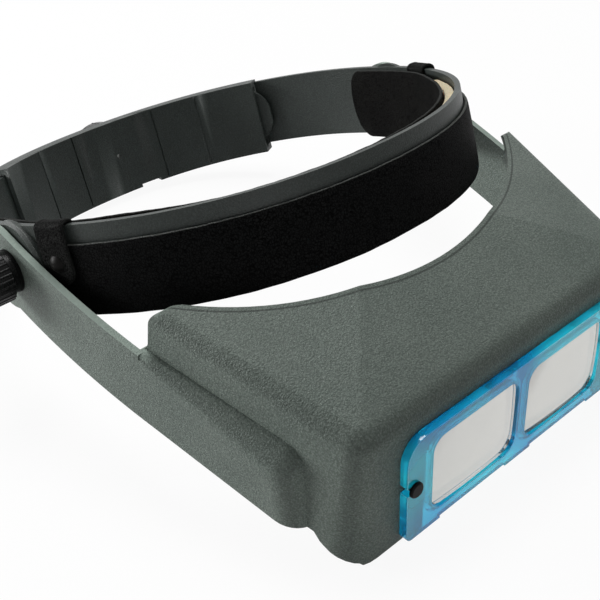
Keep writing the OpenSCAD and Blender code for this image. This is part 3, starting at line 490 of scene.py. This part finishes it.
ROUNDING_SHADE_MASK = make_rounding_shade_mask()
BRIM = make_brim_shade_group()
PEBBLE = make_pebble_group()
LEATHER = make_leather_group()


def new_material(name):
    """Material with a plain Principled BSDF; returns it with its tree and shader node."""
    material = bpy.data.materials.new(name)
    material.use_nodes = True
    tree = material.node_tree
    shader = next(n for n in tree.nodes if n.type == "BSDF_PRINCIPLED")
    return material, tree, shader


def bump(tree, shader, height, strength, distance):
    """Bumps the shader's normal by height, over a distance in metres."""
    node = add(tree, "ShaderNodeBump", {"Strength": strength, "Distance": distance, "Height": height})
    tree.links.new(node.outputs[0], shader.inputs["Normal"])


def painted_arm_rim_highlight(tree, normal):
    """Mask of the painted highlight on the visor arms' narrow upper edges, which lie furthest out and face
    up.
    """
    up = grade(tree, add(tree, "ShaderNodeSeparateXYZ", {0: normal}).outputs[2], 0.45, 0.7)
    spot = add(tree, "ShaderNodeSeparateXYZ", {0: object_place(tree)}).outputs
    out = grade(tree, math_node(tree, "ABSOLUTE", spot[0]), ARM_OUT * MM, (ARM_OUT + 1.5) * MM)
    behind = grade(tree, spot[1], ARM_FRONT * MM, (ARM_FRONT + 4) * MM)
    return math_node(tree, "MULTIPLY", math_node(tree, "MULTIPLY", up, out), behind)


def visor_painted_light(tree, colour, dark, painted_rounding_shade):
    """Colour of the visor with painted light: painted shade darkens the rounded transitions by the factor
    painted_rounding_shade, a fine line of painted shade runs beside the brim's edge, and a painted
    highlight makes the arms' upper edges paler."""
    normal = object_normal(tree)
    form = use_group(tree, ROUNDING_SHADE_MASK, {"Normal": normal}).outputs["Rounding"]
    # Painted shade: the rounded transitions are darkened by the factor painted_rounding_shade
    toned = shaded(tree, colour, grade(tree, form, 0.0, 1.0, 1.0, painted_rounding_shade))
    line = use_group(tree, BRIM, {"Vector": object_place(tree)}).outputs["Line"]
    # Painted shade: a fine dark line beside the brim's edge, at 0.35 of the dark colour
    lined = mix_colour(tree, line, toned, rgba(dark, 0.35))
    # Painted highlight: the arms' upward-facing upper edges at 2.3 times the dark colour
    return mix_colour(tree, painted_arm_rim_highlight(tree, normal), lined, rgba(dark, 2.3))


def moulded_plastic(name, dark, light, flecks, cell, depth, rough, fleck=0.5, gloss=0.2, painted_rounding_shade=None,
                    uneven=0.2):
    """Grained moulded plastic: cloudy colour between dark and light, uneven by that share with its
    grain of cell cells per metre and that depth in metres, with an amount fleck of pale flecks. With
    painted_rounding_shade it has the visor's painted light too: painted shade on its rounded
    transitions, a line of painted shade beside the brim and a painted highlight on the arms' upper edges."""
    material, tree, shader = new_material(name)
    shader.inputs["Specular IOR Level"].default_value = gloss
    grain = use_group(tree, PEBBLE, {"Vector": object_place(tree), "Cell Scale": cell,
                                     "Fleck Amount": fleck})
    cloud = grain.outputs["Cloud"]
    base = mix_colour(tree, grade(tree, cloud, 0.35, 0.65), rgba(dark), rgba(light))
    shade = grade(tree, grain.outputs["Hollow"], 0.0, 1.0, 1.0 - uneven, 1.0 + uneven)
    colour = mix_colour(tree, grain.outputs["Fleck"], shaded(tree, base, shade), rgba(flecks))
    if painted_rounding_shade is not None:
        colour = visor_painted_light(tree, colour, dark, painted_rounding_shade)
    tree.links.new(colour, shader.inputs["Base Color"])
    tree.links.new(grade(tree, cloud, 0.3, 0.7, rough + 0.05, rough - 0.05), shader.inputs["Roughness"])
    bump(tree, shader, grain.outputs["Height"], 0.85, depth)
    return material


def leather(name, fresh, worn, fibres, scale, depth, rough):
    """Grained leather, darker and duller in its cracks, with a fibrous, paler cut edge where the
    cut_edge attribute is 1."""
    material, tree, shader = new_material(name)
    grain = use_group(tree, LEATHER, {"Vector": object_place(tree), "Grain Scale": scale})
    broad = mix_colour(tree, grain.outputs["Worn"], rgba(fresh), rgba(worn))
    shade = grade(tree, grain.outputs["Height"], 0.3, 0.95, 0.1, 2.1)
    shader.inputs["Specular IOR Level"].default_value = 0.005
    shader.inputs["Coat Roughness"].default_value = 0.65
    tree.links.new(math_node(tree, "MULTIPLY", shade, 0.06), shader.inputs["Coat Weight"])
    cut = add(tree, "ShaderNodeAttribute", attribute_name="cut_edge").outputs["Fac"]
    fibre = mix_colour(tree, grain.outputs["Fibre"], rgba(fibres, 0.45), rgba(fibres))
    tree.links.new(mix_colour(tree, cut, shaded(tree, broad, shade), fibre), shader.inputs["Base Color"])
    tree.links.new(math_node(tree, "ADD", math_node(tree, "MULTIPLY", cut, 0.3), rough),
                   shader.inputs["Roughness"])
    bump(tree, shader, grain.outputs["Height"], 0.85, depth)
    return material


def open_foam(name, skin, pits):
    """Open-cell foam of a skin colour with small darker pits."""
    material, tree, shader = new_material(name)
    cells = add(tree, "ShaderNodeTexVoronoi", {"Vector": object_place(tree), "Scale": 1600.0})
    pit = grade(tree, cells.outputs["Distance"], 0.15, 0.55)
    tree.links.new(mix_colour(tree, pit, rgba(skin), rgba(pits)), shader.inputs["Base Color"])
    shader.inputs["Roughness"].default_value = 0.95
    shader.inputs["Subsurface Weight"].default_value = 0.1
    bump(tree, shader, math_node(tree, "SUBTRACT", 1.0, pit), 0.7, 0.0003)
    return material


def metal(name, colour, rough, scale):
    """Turned or plated metal with a faint mottled dulling of scale spots per metre."""
    material, tree, shader = new_material(name)
    mottle = noise(tree, object_place(tree), scale, 3.0).outputs[0]
    tree.links.new(mix_colour(tree, grade(tree, mottle, 0.3, 0.7), rgba(colour), rgba(colour, 0.75)),
                   shader.inputs["Base Color"])
    tree.links.new(grade(tree, mottle, 0.3, 0.7, rough, rough + 0.12), shader.inputs["Roughness"])
    shader.inputs["Metallic"].default_value = 1.0
    bump(tree, shader, mottle, 0.15, 0.00005)
    return material


def clear_acrylic(name, deep, light, clear):
    """Clear moulded acrylic with slight flow marks between a deep and a light colour."""
    material, tree, shader = new_material(name)
    flow = noise(tree, object_place(tree), 45.0, 2.0).outputs[0]
    tree.links.new(mix_colour(tree, grade(tree, flow, 0.4, 0.6), rgba(deep), rgba(light)),
                   shader.inputs["Base Color"])
    shader.inputs["Roughness"].default_value = 0.06
    shader.inputs["IOR"].default_value = 1.49
    shader.inputs["Transmission Weight"].default_value = clear
    bump(tree, shader, flow, 0.12, 0.0004)
    return material


def lens_glass(name, grey, light, ground):
    """Lens with the faintest haze between a grey and a light tint, whose ground edge is paler than
    its faces, which look to the front and back."""
    material, tree, shader = new_material(name)
    haze = noise(tree, object_place(tree), 30.0, 2.0).outputs[0]
    tree.links.new(grade(tree, haze, 0.3, 0.7, 0.02, 0.06), shader.inputs["Roughness"])
    face = mix_colour(tree, grade(tree, haze, 0.3, 0.7), rgba(grey), rgba(light))
    facing = vector_node(tree, "DOT_PRODUCT", object_normal(tree), (0, 1, 0)).outputs["Value"]
    edge = grade(tree, math_node(tree, "ABSOLUTE", facing), 0.5, 0.8, 1.0, 0.0)
    tree.links.new(mix_colour(tree, edge, face, rgba(ground)), shader.inputs["Base Color"])
    shader.inputs["IOR"].default_value = 1.5
    shader.inputs["Transmission Weight"].default_value = 1.0
    return material


# The shell's rounded transitions get painted shade at 0.8 of its colour
SHELL = moulded_plastic("shell_plastic", (0.12, 0.146, 0.129), (0.142, 0.17, 0.15), (0.3, 0.34, 0.31),
                        cell=1900.0, depth=0.00026, rough=0.5, fleck=0.4, gloss=0.15, painted_rounding_shade=0.8,
                        uneven=0.26)
# Paler copy of the shell's plastic on its rounded edges: a painted highlight
SHELL_EDGE_HIGHLIGHT = moulded_plastic("shell_edge_highlight", (0.27, 0.32, 0.285), (0.32, 0.38, 0.335), (0.45, 0.5, 0.46),
                             cell=1900.0, depth=0.00008, rough=0.4, fleck=0.3, gloss=0.4)
BAND = moulded_plastic("band_plastic", (0.029, 0.035, 0.032), (0.038, 0.045, 0.042), (0.08, 0.09, 0.085),
                       cell=1900.0, depth=0.00012, rough=0.42, fleck=0.3)
# Paler copy of the band's plastic on its rounded edges: a painted highlight
BAND_EDGE_HIGHLIGHT = moulded_plastic("band_edge_highlight", (0.25, 0.29, 0.26), (0.34, 0.39, 0.35), (0.4, 0.45, 0.4),
                            cell=2400.0, depth=0.00004, rough=0.35, fleck=0.3, gloss=0.4)
KNOB = moulded_plastic("knob_plastic", (0.0022, 0.0024, 0.0024), (0.004, 0.0042, 0.0042), (0.02, 0.02, 0.02),
                       cell=2600.0, depth=0.00005, rough=0.24, fleck=0.2, gloss=0.12)
STUD = moulded_plastic("stud_plastic", (0.003, 0.003, 0.003), (0.006, 0.006, 0.006), (0.03, 0.03, 0.03),
                       cell=3000.0, depth=0.00003, rough=0.35, fleck=0.15, gloss=0.06)
CAP = moulded_plastic("black_enamel", (0.004, 0.0038, 0.0035), (0.007, 0.0065, 0.006), (0.02, 0.02, 0.02),
                      cell=1800.0, depth=0.00004, rough=0.4, fleck=0.1, gloss=0.06)
FIBRE = moulded_plastic("friction_fibre", (0.02, 0.018, 0.016), (0.04, 0.036, 0.03), (0.1, 0.09, 0.08),
                        cell=1500.0, depth=0.0001, rough=0.8, fleck=0.5)
COVER = leather("cover_leather", (0.0012, 0.0014, 0.0014), (0.003, 0.003, 0.003), (0.17, 0.18, 0.17),
                scale=1150.0, depth=0.0008, rough=0.5)
LINER = leather("liner_leather", (0.003, 0.003, 0.0028), (0.0055, 0.0055, 0.005), (0.05, 0.052, 0.05),
                scale=1500.0, depth=0.0006, rough=0.55)
TAB = leather("tab_leather", (0.004, 0.0042, 0.004), (0.008, 0.0085, 0.008), (0.02, 0.021, 0.02),
              scale=1200.0, depth=0.0004, rough=0.55)
FOAM = open_foam("cream_foam", (0.86, 0.76, 0.56), (0.62, 0.5, 0.33))
STEEL = metal("plated_steel", (0.62, 0.62, 0.6), rough=0.28, scale=400.0)
BRASS = metal("turned_brass", (0.75, 0.55, 0.24), rough=0.3, scale=500.0)
BLUE = clear_acrylic("blue_acrylic", (0.005, 0.5, 0.85), (0.03, 0.82, 1.0), clear=0.68)
# Paler, less clear acrylic on the plate's rounded edges: a painted highlight of their glow
BLUE_EDGE_HIGHLIGHT = clear_acrylic("blue_acrylic_edge_highlight", (0.02, 0.45, 0.85), (0.35, 0.95, 1.0), clear=0.5)
GLASS = lens_glass("lens_glass", (0.55, 0.55, 0.53), (0.6, 0.595, 0.57), (0.97, 0.97, 0.96))

for finish, nodes in (
    (GLASS, ("lens_left", "lens_right")),
    (STUD, ("lens_studs", "pressure_washer_left", "pressure_washer_right")),
    (CAP, ("snap_caps",)),
    (STEEL, ("lens_stud_nuts", "snap_posts", "pivot_bolt_left", "pivot_bolt_right", "clamp_bolt",
             "rear_washer")),
    (FIBRE, ("friction_washer_left", "friction_washer_right")),
    (KNOB, ("pivot_knob_left", "pivot_knob_right", "rear_knob")),
    (BRASS, ("knob_insert_left", "knob_insert_right", "rear_knob_insert")),
):
    for node in nodes:
        data = frame["nodes"][node].data
        data.materials.clear()
        data.materials.append(finish)

# Each piece's second finish is a paler copy that paints the highlight on its rounded edges
for name, node, body, slot, finish, edge_highlight, width in (
    ("moulded_visor", "visor_shell", "visor_body", "shell_plastic", SHELL, SHELL_EDGE_HIGHLIGHT, 0.8),
    ("moulded_band", "headband", "headband_body", "band_plastic", BAND, BAND_EDGE_HIGHLIGHT, 0.5),
    ("moulded_rear_sleeve", "rear_sleeve", "rear_adjuster_body", "band_plastic", BAND, BAND_EDGE_HIGHLIGHT, 0.4),
    ("moulded_lens_plate", "lens_plate", "visor_body", "plate_blue", BLUE, BLUE_EDGE_HIGHLIGHT, 0.35),
):
    piece = moulded_copy(name, node, width)
    piece.data.materials.clear()
    piece.data.materials.append(finish)
    piece.data.materials.append(edge_highlight)
    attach(piece, body)
    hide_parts(node)

cover = make_cover()
liner = make_liner()
foam = make_foam()
tab_left, tab_flat, tab_area = make_tab("leather_tab_left", -1)
tab_right = make_tab("leather_tab_right", 1)[0]
for piece, finish, slot, node in (
    (cover, COVER, "outer_leather", "brow_cover"),
    (liner, LINER, "liner_leather", "brow_liner"),
    (foam, FOAM, "cream_foam", "brow_foam"),
    (tab_left, TAB, "liner_leather", "snap_tab_left"),
    (tab_right, TAB, "liner_leather", "snap_tab_right"),
):
    piece.data.materials.append(finish)
    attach(piece, "headband_body")
    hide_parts(node)

# Camera at the photograph's place: solved on the object, then leaned with the object onto the floor
CAMERA_AZ, CAMERA_EL = math.radians(-42.888), math.radians(37.06)
CAMERA_FROM_BAND = Vector((-209.23, -279.23, 183.96)) * MM
CAMERA_LENS, CAMERA_SENSOR = 61.81, 36.0


def place_camera():
    """Camera that looks down at CAMERA_EL from the azimuth CAMERA_AZ, level to the sides."""
    back = Vector((math.sin(CAMERA_AZ) * math.cos(CAMERA_EL), -math.cos(CAMERA_AZ) * math.cos(CAMERA_EL),
                   math.sin(CAMERA_EL)))
    right = Vector((math.cos(CAMERA_AZ), math.sin(CAMERA_AZ), 0.0))
    turn = Matrix((right, back.cross(right), back)).transposed().to_4x4()
    data = bpy.data.cameras.new("camera")
    data.sensor_width = CAMERA_SENSOR
    data.lens = CAMERA_LENS
    data.clip_start = 0.01
    camera = bpy.data.objects.new("camera", data)
    camera.matrix_world = (Matrix.Translation(Vector(BAND_ORIGIN)) @ Matrix.Rotation(LEAN, 4, "X")
                           @ Matrix.Translation(CAMERA_FROM_BAND) @ turn)
    bpy.context.scene.collection.objects.link(camera)
    bpy.context.scene.camera = camera


def background_rays(tree):
    """1 for the rays that see the background: from the camera, from shine and through glass."""
    path = add(tree, "ShaderNodeLightPath").outputs
    mirrored = math_node(tree, "MAXIMUM", path["Is Glossy Ray"], path["Is Transmission Ray"])
    return math_node(tree, "MAXIMUM", path["Is Camera Ray"], mirrored)


def white_floor(name, colour, seen):
    """Floor paper: diffuse, but white by the share seen to the camera, in shine and in glass, so that
    the object's shadow stays."""
    material, tree, shader = new_material(name)
    shader.inputs["Base Color"].default_value = rgba(colour)
    shader.inputs["Roughness"].default_value = 0.9
    shader.inputs["Specular IOR Level"].default_value = 0.1
    out = next(n for n in tree.nodes if n.type == "OUTPUT_MATERIAL")
    glow = add(tree, "ShaderNodeEmission", {"Color": (1, 1, 1, 1), "Strength": 1.0})
    mix = add(tree, "ShaderNodeMixShader", {0: math_node(tree, "MULTIPLY", background_rays(tree), seen),
                                            1: shader.outputs[0], 2: glow.outputs[0]})
    tree.links.new(mix.outputs[0], out.inputs["Surface"])
    return material


def make_floor():
    """Square of floor paper, 8 m wide, under the object."""
    half = 4
    mesh = bpy.data.meshes.new("floor")
    mesh.from_pydata([(-half, -half, 0), (half, -half, 0), (half, half, 0), (-half, half, 0)], [],
                     [(0, 1, 2, 3)])
    mesh.materials.append(white_floor("floor_paper", (0.85, 0.85, 0.85), 0.93))
    floor = bpy.data.objects.new("floor", mesh)
    bpy.context.scene.collection.objects.link(floor)


def make_world():
    """World that lights the object faintly and is white as a background."""
    world = bpy.data.worlds.new("studio")
    bpy.context.scene.world = world
    world.use_nodes = True
    tree = world.node_tree
    tree.nodes.clear()
    sky = add(tree, "ShaderNodeBackground", {"Color": (1, 1, 1, 1), "Strength": 0.06})
    paper = add(tree, "ShaderNodeBackground", {"Color": (1, 1, 1, 1), "Strength": 1.0})
    mix = add(tree, "ShaderNodeMixShader", {0: background_rays(tree), 1: sky.outputs[0],
                                            2: paper.outputs[0]})
    out = add(tree, "ShaderNodeOutputWorld")
    tree.links.new(mix.outputs[0], out.inputs["Surface"])


def softbox(name, place_at, aim, width, height, watts):
    """Rectangular area lamp at place_at that looks at aim."""
    lamp = bpy.data.lights.new(name, "AREA")
    lamp.shape = "RECTANGLE"
    lamp.size, lamp.size_y = width, height
    lamp.energy = watts
    obj = bpy.data.objects.new(name, lamp)
    obj.location = place_at
    obj.rotation_euler = (Vector(aim) - Vector(place_at)).to_track_quat("-Z", "Y").to_euler()
    bpy.context.scene.collection.objects.link(obj)


place_camera()
make_floor()
make_world()
softbox("top", (0.17, 0.30, 1.0), (0, -0.03, 0.04), 0.6, 0.5, 9.5)
softbox("fill", (-0.45, -0.95, 0.22), (0, -0.05, 0.04), 0.5, 0.35, 1.3)
softbox("left", (-0.70, 0.74, 0.24), (0, -0.03, 0.04), 0.5, 0.3, 10.5)

scene = bpy.context.scene
scene.view_settings.view_transform = "Standard"
